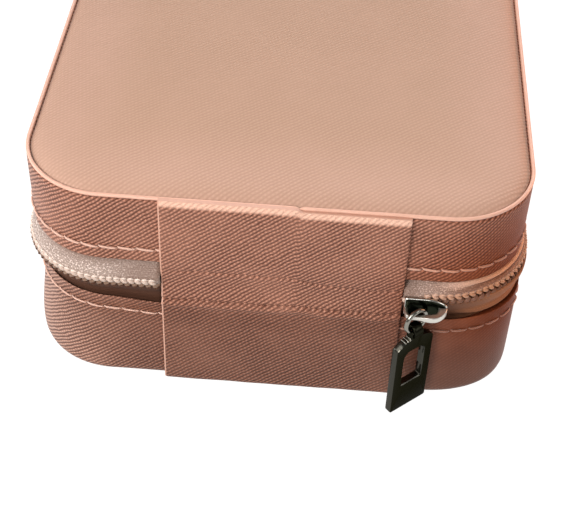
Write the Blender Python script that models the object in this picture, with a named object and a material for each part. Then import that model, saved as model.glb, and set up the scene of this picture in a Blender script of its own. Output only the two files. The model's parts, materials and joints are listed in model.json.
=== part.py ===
"""Zip-round travel jewelry box: leather-covered base and lid, joined by a leather hinge panel.

Metres, +Z up. The origin is the centre of the flat underside. The hinge panel faces -Y.
An "offset" is a distance outwards from the outer face of the walls, so inside is negative.
"""

from math import cos, pi, radians, sin, sqrt

import bpy
from mathutils import Matrix, Vector

MM = 0.001

# Outer form
HALF = 50 * MM                 # half of the square outline
CORNER = 17 * MM               # radius of the vertical corners
CORNER_STEPS = 8               # facets in one corner
BASE_EDGE = 22.5 * MM            # top of the base's leather wall
LID_EDGE = 32.6 * MM             # bottom of the lid's leather wall
PIPING_HEIGHT = 49 * MM        # seam between the lid's wall and its padded top
DOME_HEIGHT = 51 * MM          # highest point of the padded top

# Thicknesses and the gap left between touching pieces
GAP = 0.3 * MM
LEATHER = 1.1 * MM
TAPE = 0.45 * MM
BOARD = 1.6 * MM
VELVET = 0.8 * MM
PIPING_RADIUS = 0.4 * MM

# The wall's layers, as offsets of their outer faces
TAPE_FACE = -(LEATHER + 0.2 * MM)
BOARD_FACE = TAPE_FACE - TAPE - 0.2 * MM
LINING_FACE = BOARD_FACE - BOARD - GAP
ROOM_FACE = LINING_FACE - VELVET
ROOM = HALF + ROOM_FACE        # half of the room inside the lining

# The layers of the floor and of the lid's ceiling
FLOOR_BOARD = LEATHER + GAP
FLOOR_LINING = FLOOR_BOARD + BOARD + GAP
FLOOR = FLOOR_LINING + VELVET
BASE_BOARD_TOP = 23.5 * MM
BASE_LINING_TOP = 24.2 * MM
FOAM_BASE = 47.0 * MM
LID_BOARD_TOP = FOAM_BASE - GAP
LID_LINING_TOP = LID_BOARD_TOP - BOARD - GAP
CEILING = LID_LINING_TOP - VELVET
LID_BOARD_EDGE = 31.6 * MM
LID_LINING_EDGE = 31.2 * MM
FOOT = 1.0 * MM                # chamfer under the base's leather wall

# The padded top's upper side, (offset, height) from its flat middle out to the rim
PAD_FLAT = -13 * MM
PAD_TOP = [(-13 * MM, DOME_HEIGHT), (-8 * MM, 50.75 * MM), (-4 * MM, 50.2 * MM)]
PAD_UNDER = [(-13 * MM, DOME_HEIGHT - LEATHER), (-7 * MM, 49.45 * MM), (-3.5 * MM, 48.7 * MM)]
PAD_LOW = 47.5 * MM            # where the top's leather is tucked behind the piping

# Zip: two rows of teeth with a slot between them, bulging outwards from the tapes
ZIP_HEIGHT = 27.75 * MM        # middle of the chain
SLOT = 0.6 * MM                # half of the slot between the rows
TEETH_HEIGHT = 1.5 * MM
TEETH_INNER = -0.1 * MM
TEETH_OUTER = 1.1 * MM
TEETH_BEVEL = 0.3 * MM
TAPE_EDGE = 0.35 * MM          # offset of the tapes where they reach the teeth
TAPE_LOW = 16 * MM             # ends of the tapes inside the walls
TAPE_HIGH = 40 * MM
TAPE_BULGE = 1.2 * MM          # the upper tape swells out under the lid's edge
PANEL_LEFT = -21.8 * MM
PANEL_RIGHT = 26.1 * MM
PANEL_TOP = 49.1 * MM
PANEL_BOTTOM = 0.3 * MM
ZIP_START = PANEL_LEFT - GAP
ZIP_END = PANEL_RIGHT + GAP

# Slider, with its plates upright and parallel to the back wall
SLIDER_LEFT = ZIP_END
SLIDER_LENGTH = 8.6 * MM
SLIDER_HALF_HEIGHT = 2.5 * MM
SLIDER_NOSE = 2.0 * MM
PLATE_INNER = TEETH_OUTER + GAP
PLATE_OUTER = PLATE_INNER + 0.9 * MM
BACK_PLATE_OUTER = -1.0 * MM
BACK_PLATE_INNER = -1.7 * MM
BRIDGE_RADIUS = 0.55 * MM
BRIDGE_OFFSET = 4.8 * MM
BRIDGE_HEIGHT = 27.3 * MM
BRIDGE_PATH = (                # distance from the slider's left end, offset
    (0.55, 1.9), (0.6, 3.2), (0.9, 4.2), (1.6, 4.75), (2.6, 4.8), (4.2, 4.8), (5.8, 4.8),
    (6.6, 4.6), (7.3, 4.0), (7.6, 3.1), (7.7, 1.9),
)
WEDGE_X = (29.4 * MM, 32.4 * MM)
WEDGE_HALF = 0.38 * MM         # stays clear of both rows of teeth

# Ring and tab hang at an angle to the wall
HANG_TURN = radians(41)
RING_RADIUS = 2.5 * MM
WIRE_RADIUS = 0.5 * MM
RING_CENTRE = Vector((28.9 * MM, -(HALF + BRIDGE_OFFSET), BRIDGE_HEIGHT - 0.8 * MM))
TAB_WIDTH = 9.1 * MM
TAB_THICKNESS = 1.8 * MM
TAB_BOTTOM = 1.6 * MM
TAB_SHOULDER = 19.6 * MM
TAB_NECK = 21.6 * MM
TAB_HEAD_RADIUS = 1.55 * MM
TAB_HEAD_HALF_WIDTH = 1.1 * MM
EYE_RADIUS = 0.85 * MM
WINDOW_WIDTH = 4.8 * MM
WINDOW_BOTTOM = 9.6 * MM
WINDOW_TOP = 18.2 * MM

# Fittings of the base
ROLL_COUNT = 5
ROLL_HEIGHT = 15.5 * MM
ROLL_STATIONS = [x * MM for x in (33, 36, 38.5, 40.5, 42.2, 43.5)]
DIVIDER = 1.6 * MM
LONG_DIVIDER_TOP = 22.0 * MM
CROSS_DIVIDER_TOP = 21.0 * MM
CROSS_DIVIDER_X = 15.2 * MM
DIVIDER_BEVEL = 0.5 * MM

# Fittings of the lid
STRAP_Y = (26.0 * MM, 39.0 * MM)
STRAP_HALF = 37.0 * MM
STRAP_THICKNESS = 1.2 * MM
HOOK_SPACING = 24.0 * MM
HOOK_WIDTH = 10.0 * MM
HOOK_THICKNESS = 1.0 * MM
HOOK_Y = (20.5 * MM, 38.5 * MM)
STUD_Y = 29.0 * MM
STUD_RADIUS = 1.5 * MM
STUD_HEIGHT = 1.0 * MM
CAP_RADIUS = 2.9 * MM
CAP_HEIGHT = 0.8 * MM
POCKET_Y = (-40.0 * MM, 8.0 * MM)
POCKET_HALF = 40.0 * MM
POCKET_THICKNESS = 0.9 * MM
ELASTIC_WIDTH = 3.0 * MM
EDGE_BEVEL = 0.3 * MM

COLORS = {
    "leather": (0.56, 0.27, 0.21, 1, 0.45, 0),
    "leather_top": (0.66, 0.42, 0.30, 1, 0.45, 0),
    "piping": (0.80, 0.50, 0.42, 1, 0.4, 0),
    "tape": (0.62, 0.42, 0.33, 1, 0.7, 0),
    "teeth": (0.70, 0.52, 0.44, 1, 0.35, 0),
    "board": (0.45, 0.36, 0.25, 1, 0.9, 0),
    "foam": (0.85, 0.82, 0.72, 1, 0.95, 0),
    "velvet": (0.62, 0.36, 0.33, 1, 0.95, 0),
    "elastic": (0.55, 0.30, 0.28, 1, 0.8, 0),
    "nickel": (0.72, 0.70, 0.68, 1, 0.22, 1),
    "gunmetal": (0.10, 0.10, 0.09, 1, 0.3, 1),
}


def material(slot):
    """The shared material of one slot."""
    found = bpy.data.materials.get(slot)
    if found:
        return found
    red, green, blue, alpha, roughness, metallic = COLORS[slot]
    made = bpy.data.materials.new(slot)
    made.use_nodes = True
    shader = made.node_tree.nodes["Principled BSDF"]
    shader.inputs["Base Color"].default_value = (red, green, blue, alpha)
    shader.inputs["Roughness"].default_value = roughness
    shader.inputs["Metallic"].default_value = metallic
    return made


def add_object(name, points, faces, slot, location=(0, 0, 0)):
    """One closed mesh object whose points are given in world space."""
    origin = Vector(location)
    mesh = bpy.data.meshes.new(name)
    mesh.from_pydata([Vector(point) - origin for point in points], [], faces)
    mesh.materials.append(material(slot))
    mesh.shade_smooth()
    mesh.set_sharp_from_angle(angle=radians(35))
    made = bpy.data.objects.new(name, mesh)
    made.location = origin
    bpy.context.scene.collection.objects.link(made)
    return made


def parent_to(children, name, location):
    """Hang the pieces on an empty that sits on their joint's axis."""
    empty = bpy.data.objects.new(name, None)
    empty.location = location
    bpy.context.scene.collection.objects.link(empty)
    bpy.context.view_layer.update()
    for child in children:
        child.parent = empty
        child.matrix_parent_inverse = empty.matrix_world.inverted()
    return empty


# ---------------------------------------------------------------- rounded-square building blocks

def corner_stations():
    """Corner centre and outward direction at each facet, counter-clockwise from the +X -Y corner."""
    stations = []
    for corner, (sign_x, sign_y) in enumerate(((1, -1), (1, 1), (-1, 1), (-1, -1))):
        centre = Vector((sign_x, sign_y, 0)) * (HALF - CORNER)
        for step in range(CORNER_STEPS + 1):
            angle = radians(-90 + 90 * corner) + radians(90) * step / CORNER_STEPS
            stations.append((centre, Vector((cos(angle), sin(angle), 0))))
    return stations


def station_point(station, offset, height):
    centre, outward = station
    point = centre + outward * (CORNER + offset)
    point.z = height
    return point


def outline(offset, height):
    return [station_point(station, offset, height) for station in corner_stations()]


def bridge(loops, closed_section, closed_path):
    """Quads between neighbouring loops, each loop being a list of point numbers."""
    faces = []
    pairs = zip(loops, loops[1:] + ([loops[0]] if closed_path else []))
    for low, high in pairs:
        count = len(low)
        for i in range(count if closed_section else count - 1):
            j = (i + 1) % count
            faces.append((low[i], low[j], high[j], high[i]))
    return faces


def ring_piece(name, profile, slot):
    """A band all round the box; the profile is a closed loop of (offset, height), outer side downwards."""
    stations = corner_stations()
    points, loops = [], []
    for station in stations:
        loops.append(list(range(len(points), len(points) + len(profile))))
        points += [station_point(station, offset, height) for offset, height in profile]
    return add_object(name, points, bridge(loops, True, True), slot)


def cup_piece(name, profile, slot):
    """A tray or a lens: loops from the lowest middle outwards, up and back in, both ends capped flat."""
    points, loops = [], []
    for offset, height in profile:
        loops.append(list(range(len(points), len(points) + 4 * (CORNER_STEPS + 1))))
        points += outline(offset, height)
    faces = bridge(loops, True, False)
    faces.append(tuple(reversed(loops[0])))
    faces.append(tuple(loops[-1]))
    return add_object(name, points, faces, slot)


def zip_band(name, profile, slot):
    """A band along the zip, from the hinge panel's right edge round the front to its left edge."""
    first = (Vector((ZIP_END, -(HALF - CORNER), 0)), Vector((0, -1, 0)))
    last = (Vector((ZIP_START, -(HALF - CORNER), 0)), Vector((0, -1, 0)))
    stations = [first] + corner_stations() + [last]
    points, loops = [], []
    for station in stations:
        loops.append(list(range(len(points), len(points) + len(profile))))
        points += [station_point(station, offset, height) for offset, height in profile]
    faces = bridge(loops, True, False)
    faces.append(tuple(reversed(loops[0])))
    faces.append(tuple(loops[-1]))
    return add_object(name, points, faces, slot)


def slab(name, low, high, slot, bevel=0.0, location=(0, 0, 0)):
    """A straight block between two corners, with its edges optionally rounded."""
    (x0, y0, z0), (x1, y1, z1) = low, high
    points = [(x, y, z) for z in (z0, z1) for x, y in ((x0, y0), (x1, y0), (x1, y1), (x0, y1))]
    faces = [(3, 2, 1, 0), (4, 5, 6, 7), (0, 1, 5, 4), (1, 2, 6, 5), (2, 3, 7, 6), (3, 0, 4, 7)]
    made = add_object(name, points, faces, slot, location)
    if bevel:
        modifier = made.modifiers.new("rounded_edges", "BEVEL")
        modifier.width = bevel
        modifier.segments = 2
        modifier.limit_method = "ANGLE"
    return made


def prism(points_2d, place, depth_low, depth_high):
    """Points and faces of an outline pushed through a depth; place maps (u, v, depth) to a point."""
    count = len(points_2d)
    points = [place(u, v, depth_low) for u, v in points_2d]
    points += [place(u, v, depth_high) for u, v in points_2d]
    faces = [tuple(reversed(range(count))), tuple(range(count, 2 * count))]
    for i in range(count):
        j = (i + 1) % count
        faces.append((i, j, count + j, count + i))
    return points, faces


def arc(centre_u, centre_v, radius, start, end, steps):
    """Points on an arc, angles in degrees."""
    angles = [radians(start + (end - start) * i / steps) for i in range(steps + 1)]
    return [(centre_u + radius * cos(a), centre_v + radius * sin(a)) for a in angles]


def boolean(target, tool, operation):
    """Join a tool to its target, or cut it out, keeping the tool hidden as a guide."""
    tool.hide_render = True
    tool.display_type = "WIRE"
    modifier = target.modifiers.new(operation.lower() + "_" + tool.name, "BOOLEAN")
    modifier.operation = operation
    modifier.object = tool
    modifier.solver = "EXACT"


def tube(name, path, radius, sides, slot, closed):
    """A round bar along a path in one plane; a closed path makes a ring."""
    points, loops = [], []
    count = len(path)
    normal = (path[1] - path[0]).cross(path[count // 2] - path[0]).normalized()
    for i, centre in enumerate(path):
        before = path[i - 1] if closed or i else path[i]
        after = path[(i + 1) % count] if closed or i < count - 1 else path[i]
        along = (after - before).normalized()
        side = normal.cross(along)
        loops.append(list(range(len(points), len(points) + sides)))
        for k in range(sides):
            angle = 2 * pi * k / sides
            points.append(centre + (side * cos(angle) + normal * sin(angle)) * radius)
    faces = bridge(loops, True, closed)
    if not closed:
        faces.append(tuple(reversed(loops[0])))
        faces.append(tuple(loops[-1]))
    return add_object(name, points, faces, slot)


# ---------------------------------------------------------------- base

def make_base():
    ring_piece("base_wall_leather", [
        (0, BASE_EDGE), (0, FOOT), (-FOOT * 0.3, FOOT * 0.3), (-FOOT, 0), (-LEATHER, 0),
        (-LEATHER, BASE_EDGE),
    ], "leather")
    under = -LEATHER - GAP
    cup_piece("base_bottom_leather", [(under, 0), (under, LEATHER)], "leather")
    cup_piece("base_board", [
        (BOARD_FACE, FLOOR_BOARD), (BOARD_FACE, BASE_BOARD_TOP),
        (BOARD_FACE - BOARD, BASE_BOARD_TOP), (BOARD_FACE - BOARD, FLOOR_BOARD + BOARD),
    ], "board")
    cup_piece("base_lining", [
        (LINING_FACE, FLOOR_LINING), (LINING_FACE, BASE_LINING_TOP),
        (ROOM_FACE, BASE_LINING_TOP), (ROOM_FACE, FLOOR),
    ], "velvet")


def wall_reach(x):
    """How far the room reaches in Y at a given x, inside the rounded corners."""
    beyond = abs(x) - (HALF - CORNER)
    if beyond <= 0:
        return ROOM - GAP
    radius = CORNER + ROOM_FACE - GAP
    return HALF - CORNER + sqrt(radius ** 2 - beyond ** 2)


def make_ring_rolls():
    """Five soft rolls side by side behind the long divider; rings are held between them."""
    back = -ROOM + GAP
    front = -DIVIDER / 2 - GAP
    pitch = (front - back) / ROLL_COUNT
    low = FLOOR + GAP
    top = low + ROLL_HEIGHT
    for number in range(ROLL_COUNT):
        y_front = back + pitch * (number + 1) - GAP
        y_back = back + pitch * number
        points, loops = [], []
        for x in [-x for x in reversed(ROLL_STATIONS)] + ROLL_STATIONS:
            rear = max(y_back, -wall_reach(x))
            radius = (y_front - rear) / 2
            if radius < 0.2 * pitch:
                continue
            profile = [(rear, low), (y_front, low)] + arc(rear + radius, top - radius, radius, 0, 180, 8)
            loops.append(list(range(len(points), len(points) + len(profile))))
            points += [(x, y, z) for y, z in profile]
        faces = bridge(loops, True, False)
        faces.append(tuple(reversed(loops[0])))
        faces.append(tuple(loops[-1]))
        add_object(f"ring_roll_{number + 1}", points, faces, "velvet")


def make_dividers():
    half = ROOM - GAP
    slab("long_divider", (-half, -DIVIDER / 2, FLOOR + GAP), (half, DIVIDER / 2, LONG_DIVIDER_TOP),
         "velvet", DIVIDER_BEVEL)
    for number, x in enumerate((-CROSS_DIVIDER_X, CROSS_DIVIDER_X), 1):
        low = (x - DIVIDER / 2, DIVIDER / 2 + GAP, FLOOR + GAP)
        high = (x + DIVIDER / 2, half, CROSS_DIVIDER_TOP)
        slab(f"cross_divider_{number}", low, high, "velvet", DIVIDER_BEVEL,
             (x, half / 2, FLOOR))


def make_hinge():
    """The leather panel over the back and the strip behind it; both bend in the gap between the walls."""
    slab("hinge_panel", (PANEL_LEFT, -HALF - GAP - LEATHER * 0.8, PANEL_BOTTOM),
         (PANEL_RIGHT, -HALF - GAP, PANEL_TOP), "leather", EDGE_BEVEL)
    behind = -HALF - TAPE_FACE
    slab("hinge_strip", (PANEL_LEFT + GAP, behind, TAPE_LOW),
         (PANEL_RIGHT - GAP, behind + TAPE, TAPE_HIGH), "tape")


# ---------------------------------------------------------------- lid

def make_lid():
    top = PIPING_HEIGHT - PIPING_RADIUS - GAP
    ring_piece("lid_wall_leather", [
        (0, top), (0, LID_EDGE), (-LEATHER, LID_EDGE), (-LEATHER, top),
    ], "leather")
    sides = 8
    centre = -PIPING_RADIUS
    ring_piece("lid_piping", [
        (centre + PIPING_RADIUS * cos(a), PIPING_HEIGHT - PIPING_RADIUS * sin(a))
        for a in [2 * pi * k / sides for k in range(sides)]
    ], "piping")
    rim = -2 * PIPING_RADIUS - GAP
    cup_piece("lid_top_leather", PAD_UNDER + [
        (rim - LEATHER, PAD_LOW + GAP), (rim - 0.6 * MM, PAD_LOW), (rim, PAD_LOW + 0.4 * MM),
        (rim, PAD_LOW + 1.4 * MM), (rim - 0.8 * MM, PAD_LOW + 2.0 * MM),
    ] + PAD_TOP[::-1], "leather_top")
    pad = rim - LEATHER - GAP
    cup_piece("lid_foam_pad", [(pad, FOAM_BASE), (pad, PAD_LOW)] + [
        (offset - 0.15 * MM, height - 0.4 * MM) for offset, height in PAD_UNDER[:0:-1]
    ] + [(PAD_FLAT, DOME_HEIGHT - LEATHER - GAP)], "foam")
    cup_piece("lid_board", [
        (BOARD_FACE - BOARD, LID_BOARD_TOP - BOARD), (BOARD_FACE - BOARD, LID_BOARD_EDGE),
        (BOARD_FACE, LID_BOARD_EDGE), (BOARD_FACE, LID_BOARD_TOP),
    ], "board")
    cup_piece("lid_lining", [
        (ROOM_FACE, CEILING), (ROOM_FACE, LID_LINING_EDGE),
        (LINING_FACE, LID_LINING_EDGE), (LINING_FACE, LID_LINING_TOP),
    ], "velvet")


def make_pocket():
    """A flat pocket on the ceiling whose elastic mouth faces the lid's front edge."""
    top = CEILING - GAP
    low = top - POCKET_THICKNESS
    hem = POCKET_Y[1] - ELASTIC_WIDTH
    slab("pocket_panel", (-POCKET_HALF, POCKET_Y[0], low), (POCKET_HALF, hem, top), "velvet",
         EDGE_BEVEL)
    slab("pocket_elastic", (-POCKET_HALF, hem + GAP, low - 0.4 * MM), (POCKET_HALF, POCKET_Y[1], top),
         "elastic", EDGE_BEVEL)


def make_hooks():
    """A strap glued to the ceiling, and three tabs that fold over a necklace and snap shut."""
    strap_top = CEILING - GAP
    strap_low = strap_top - STRAP_THICKNESS
    slab("hook_strap", (-STRAP_HALF, STRAP_Y[0], strap_low), (STRAP_HALF, STRAP_Y[1], strap_top),
         "leather", EDGE_BEVEL)
    tab_top = strap_low - STUD_HEIGHT - 2 * GAP
    tab_low = tab_top - HOOK_THICKNESS
    axis = (0, HOOK_Y[1], (tab_top + tab_low) / 2)
    for number in range(3):
        x = (number - 1) * HOOK_SPACING
        disc(f"snap_stud_{number + 1}", (x, STUD_Y), STUD_RADIUS, strap_low - GAP - STUD_HEIGHT,
             strap_low - GAP)
        tab = slab(f"hook_tab_{number + 1}", (x - HOOK_WIDTH / 2, HOOK_Y[0], tab_low),
                   (x + HOOK_WIDTH / 2, HOOK_Y[1], tab_top), "leather", EDGE_BEVEL)
        cap = disc(f"snap_cap_{number + 1}", (x, STUD_Y), CAP_RADIUS, tab_low - GAP - CAP_HEIGHT,
                   tab_low - GAP)
        parent_to([tab, cap], f"hook_pivot_{number + 1}", (x, axis[1], axis[2]))


def disc(name, centre, radius, low, high):
    """A round stud with a chamfered lower rim."""
    sides = 16
    rim = 0.3 * MM
    points, loops = [], []
    for height, size in ((low, radius - rim), (low + rim, radius), (high, radius)):
        loops.append(list(range(len(points), len(points) + sides)))
        for k in range(sides):
            angle = 2 * pi * k / sides
            points.append((centre[0] + size * cos(angle), centre[1] + size * sin(angle), height))
    faces = bridge(loops, True, False)
    faces.append(tuple(reversed(loops[0])))
    faces.append(tuple(loops[-1]))
    return add_object(name, points, faces, "nickel")


# ---------------------------------------------------------------- zip

def teeth_profile(low, high):
    """A bar's section with its two outer edges bevelled."""
    return [
        (TEETH_OUTER, high - TEETH_BEVEL), (TEETH_OUTER, low + TEETH_BEVEL), (TEETH_OUTER - TEETH_BEVEL, low),
        (TEETH_INNER, low), (TEETH_INNER, high), (TEETH_OUTER - TEETH_BEVEL, high),
    ]


def make_zip():
    """Rows of teeth are plain bars; the tapes run from them into the walls."""
    low_top = ZIP_HEIGHT - SLOT
    low_bottom = low_top - TEETH_HEIGHT
    zip_band("lower_zip_teeth", teeth_profile(low_bottom, low_top), "teeth")
    high_bottom = ZIP_HEIGHT + SLOT
    high_top = high_bottom + TEETH_HEIGHT
    zip_band("upper_zip_teeth", teeth_profile(high_bottom, high_top), "teeth")
    inner = TAPE_FACE - TAPE
    base_knee = BASE_EDGE + 0.2 * MM
    zip_band("lower_zip_tape", [
        (TAPE_EDGE, low_bottom - GAP), (TAPE_EDGE, base_knee + 1.2 * MM), (TAPE_FACE, base_knee),
        (TAPE_FACE, TAPE_LOW), (inner, TAPE_LOW), (inner, base_knee + 0.3 * MM),
        (TAPE_EDGE - TAPE, base_knee + 1.5 * MM), (TAPE_EDGE - TAPE, low_bottom - GAP),
    ], "tape")
    lid_knee = LID_EDGE - 0.2 * MM
    zip_band("upper_zip_tape", [
        (TAPE_FACE, TAPE_HIGH), (TAPE_FACE, lid_knee), (0, lid_knee - 0.2 * MM),
        (TAPE_BULGE, lid_knee - 0.8 * MM), (TAPE_BULGE, lid_knee - 1.6 * MM), (TAPE_EDGE, high_top + GAP),
        (TAPE_EDGE - TAPE, high_top + GAP), (TAPE_BULGE - TAPE, lid_knee - 1.4 * MM),
        (TAPE_BULGE - TAPE, lid_knee - 1.1 * MM), (-0.1 * MM, lid_knee - 0.7 * MM),
        (inner, lid_knee - 0.4 * MM), (inner, TAPE_HIGH),
    ], "tape")


def slider_outline(left, right):
    """Square shoulders on the left and a round nose on the right, as (x, height)."""
    half = SLIDER_HALF_HEIGHT
    nose_x = right - SLIDER_NOSE
    corner = 0.7 * MM
    points = arc(left + corner, ZIP_HEIGHT - half + corner, corner, 180, 270, 3)
    points += [(left + (right - left) * 0.45, ZIP_HEIGHT - half)]
    points += arc(nose_x, ZIP_HEIGHT, SLIDER_NOSE, -60, 60, 8)
    points += [(left + (right - left) * 0.45, ZIP_HEIGHT + half)]
    points += arc(left + corner, ZIP_HEIGHT + half - corner, corner, 90, 180, 3)
    return points


def make_slider():
    """Outer and back plates joined by a wedge in the slot, with a bridge for the ring."""
    right = SLIDER_LEFT + SLIDER_LENGTH

    def place(u, v, depth):
        return (u, -HALF - depth, v)

    points, faces = prism(slider_outline(SLIDER_LEFT, right), place, PLATE_INNER, PLATE_OUTER)
    body = add_object("slider_body", points, faces, "nickel")
    points, faces = prism(slider_outline(SLIDER_LEFT + 2.6 * MM, right - 0.4 * MM), place,
                          BACK_PLATE_INNER, BACK_PLATE_OUTER)
    back = add_object("slider_back_plate_tool", points, faces, "nickel")
    (first, last), taper = WEDGE_X, 0.6 * MM
    wedge = [(first, ZIP_HEIGHT), (first + taper, ZIP_HEIGHT - WEDGE_HALF),
             (last - taper, ZIP_HEIGHT - WEDGE_HALF), (last, ZIP_HEIGHT),
             (last - taper, ZIP_HEIGHT + WEDGE_HALF), (first + taper, ZIP_HEIGHT + WEDGE_HALF)]
    points, faces = prism(wedge, place, BACK_PLATE_INNER + 0.3 * MM, PLATE_OUTER - 0.3 * MM)
    post = add_object("slider_wedge_tool", points, faces, "nickel")
    path = [Vector((SLIDER_LEFT + along * MM, -HALF - offset * MM, BRIDGE_HEIGHT))
            for along, offset in BRIDGE_PATH]
    bar = tube("slider_bridge_tool", path, BRIDGE_RADIUS, 10, "nickel", False)
    for tool in (back, post, bar):
        boolean(body, tool, "UNION")
    return body


def hang(u, v, depth):
    """A point of the tab: u along its width, v its height, depth along its thickness."""
    width_way = Vector((cos(HANG_TURN), sin(HANG_TURN), 0))
    depth_way = Vector((-sin(HANG_TURN), cos(HANG_TURN), 0))
    point = Vector((RING_CENTRE.x, RING_CENTRE.y, 0)) + width_way * u + depth_way * depth
    point.z = v
    return point


def make_pull():
    """The ring round the bridge, and the tab whose eye the ring passes through."""
    steps = 28
    circle = [hang(RING_RADIUS * cos(2 * pi * k / steps),
                   RING_CENTRE.z + RING_RADIUS * sin(2 * pi * k / steps), 0) for k in range(steps)]
    ring = tube("pull_ring", circle, WIRE_RADIUS, 8, "nickel", True)
    half = TAB_WIDTH / 2
    eye_height = RING_CENTRE.z - RING_RADIUS
    head = TAB_HEAD_HALF_WIDTH
    side = [(half - 0.5 * MM, TAB_BOTTOM), (half, TAB_BOTTOM + 0.5 * MM), (half, TAB_SHOULDER),
            (half - 1.4 * MM, TAB_NECK - 0.4 * MM), (half - 2.4 * MM, TAB_NECK), (head, TAB_NECK + 0.6 * MM),
            (head, eye_height + 0.6 * MM), (head - 0.5 * MM, eye_height + TAB_HEAD_RADIUS)]
    silhouette = side + [(-u, v) for u, v in reversed(side)]
    thin = TAB_THICKNESS / 2
    points, faces = prism(silhouette, hang, thin, -thin)
    tab = add_object("pull_tab", points, faces, "gunmetal")
    window = [(WINDOW_WIDTH / 2, WINDOW_BOTTOM), (WINDOW_WIDTH / 2, WINDOW_TOP - 1.2 * MM),
              (WINDOW_WIDTH / 2 - 1.2 * MM, WINDOW_TOP)]
    window += [(-u, v) for u, v in reversed(window)]
    points, faces = prism(window, hang, TAB_THICKNESS, -TAB_THICKNESS)
    boolean(tab, add_object("tab_window_tool", points, faces, "gunmetal"), "DIFFERENCE")
    eye = arc(0, eye_height, EYE_RADIUS, 0, 330, 11)
    points, faces = prism(eye, lambda u, v, d: hang(d, v, u), -2 * MM, 2 * MM)
    boolean(tab, add_object("tab_eye_tool", points, faces, "gunmetal"), "DIFFERENCE")
    return ring, tab, eye_height


def make_moving_zip_parts():
    slider = make_slider()
    ring, tab, eye_height = make_pull()
    corner_axis = parent_to([slider], "slider_turn", (HALF - CORNER, -(HALF - CORNER), ZIP_HEIGHT))
    ring_axis = parent_to([ring], "ring_turn", (RING_CENTRE.x, RING_CENTRE.y, BRIDGE_HEIGHT))
    tab_axis = parent_to([tab], "tab_turn", (RING_CENTRE.x, RING_CENTRE.y, eye_height))
    for child, holder in ((ring_axis, corner_axis), (tab_axis, ring_axis)):
        child.parent = holder
        child.matrix_parent_inverse = Matrix.Translation(-holder.matrix_world.translation)


def main():
    for old in list(bpy.data.objects):
        bpy.data.objects.remove(old, do_unlink=True)
    make_base()
    make_ring_rolls()
    make_dividers()
    make_hinge()
    make_lid()
    make_pocket()
    make_hooks()
    make_zip()
    make_moving_zip_parts()
    bpy.context.view_layer.update()


main()
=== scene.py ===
"""Looks of the zip-round jewelry box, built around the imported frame. +Z up, hinge panel at -Y.

Lengths are millimetres until a mesh is made, apart from the studio's. Offsets are distances outwards
from the walls' outer face. Walls are followed by s, the distance round the box, counter-clockwise
from the middle of the hinge side.
"""

import json
from itertools import product
from math import atan2, cos, exp, pi, radians, sin, sqrt

import bpy
from mathutils import Matrix, Vector, noise


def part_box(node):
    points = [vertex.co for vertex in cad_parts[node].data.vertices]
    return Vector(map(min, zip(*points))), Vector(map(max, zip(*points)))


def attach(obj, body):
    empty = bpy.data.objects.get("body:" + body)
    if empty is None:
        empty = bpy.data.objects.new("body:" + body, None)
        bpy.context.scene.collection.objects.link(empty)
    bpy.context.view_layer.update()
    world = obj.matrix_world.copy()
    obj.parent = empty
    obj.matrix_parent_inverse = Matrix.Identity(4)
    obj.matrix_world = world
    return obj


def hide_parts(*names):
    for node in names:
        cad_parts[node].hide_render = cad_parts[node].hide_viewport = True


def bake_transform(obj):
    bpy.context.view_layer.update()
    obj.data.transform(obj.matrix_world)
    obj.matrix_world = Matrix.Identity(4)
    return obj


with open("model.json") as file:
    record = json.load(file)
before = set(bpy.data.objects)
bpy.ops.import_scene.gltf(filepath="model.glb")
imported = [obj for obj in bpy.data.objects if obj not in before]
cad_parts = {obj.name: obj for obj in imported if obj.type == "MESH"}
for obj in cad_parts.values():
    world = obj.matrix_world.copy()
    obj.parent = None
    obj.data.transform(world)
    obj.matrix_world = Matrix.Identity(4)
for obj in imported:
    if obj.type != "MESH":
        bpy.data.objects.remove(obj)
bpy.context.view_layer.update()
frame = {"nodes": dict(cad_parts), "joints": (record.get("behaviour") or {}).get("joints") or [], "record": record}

MM = 0.001


# -------- sizes, from the frame where it has them

def box(node):
    """A CAD node's low and high corners."""
    return [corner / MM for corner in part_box(node)]


HALF, _, BASE_EDGE = box("base_wall_leather")[1]
LID_EDGE, LID_WALL_TOP = (corner.z for corner in box("lid_wall_leather"))
PIPING_HEIGHT = sum(corner.z for corner in box("lid_piping")) / 2
DOME_HEIGHT = box("lid_top_leather")[1].z
PANEL_LOW, PANEL_HIGH = box("hinge_panel")
SLIDER_LOW, SLIDER_HIGH = box("slider_body")
RING_LOW, RING_HIGH = box("pull_ring")
JOINTS = {joint["name"]: joint for joint in frame["joints"]}
HINGE = [value / MM for value in JOINTS["lid_hinge"]["pos_m"]]
TAB_AXIS = Vector(JOINTS["tab_swing"]["axis"]).normalized()
TAB_EYE = JOINTS["tab_swing"]["pos_m"][2] / MM

CORNER = 17                          # radius of the vertical corners
STRAIGHT = 2 * (HALF - CORNER)
QUARTER = pi / 2 * CORNER
ROUND = 4 * (STRAIGHT + QUARTER)     # once round the box
LEATHER = 1.1
ZIP_MIDDLE = (box("upper_zip_teeth")[0].z + box("lower_zip_teeth")[1].z) / 2
ZIP_FROM = PANEL_HIGH.x + 0.3
ZIP_TO = ROUND + PANEL_LOW.x - 0.3

STITCH_PITCH = 3.7
STITCH_LENGTH = 3.55
UPPER_STITCH = LID_EDGE + 3.3
LOWER_STITCH = BASE_EDGE - 3.4
COIL_PITCH = 1.40
WARM_SHADE_CORNER = (50, -47, 28)              # middle of the corner next to the slider, painted in warm shade


# -------- shader helpers

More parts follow.
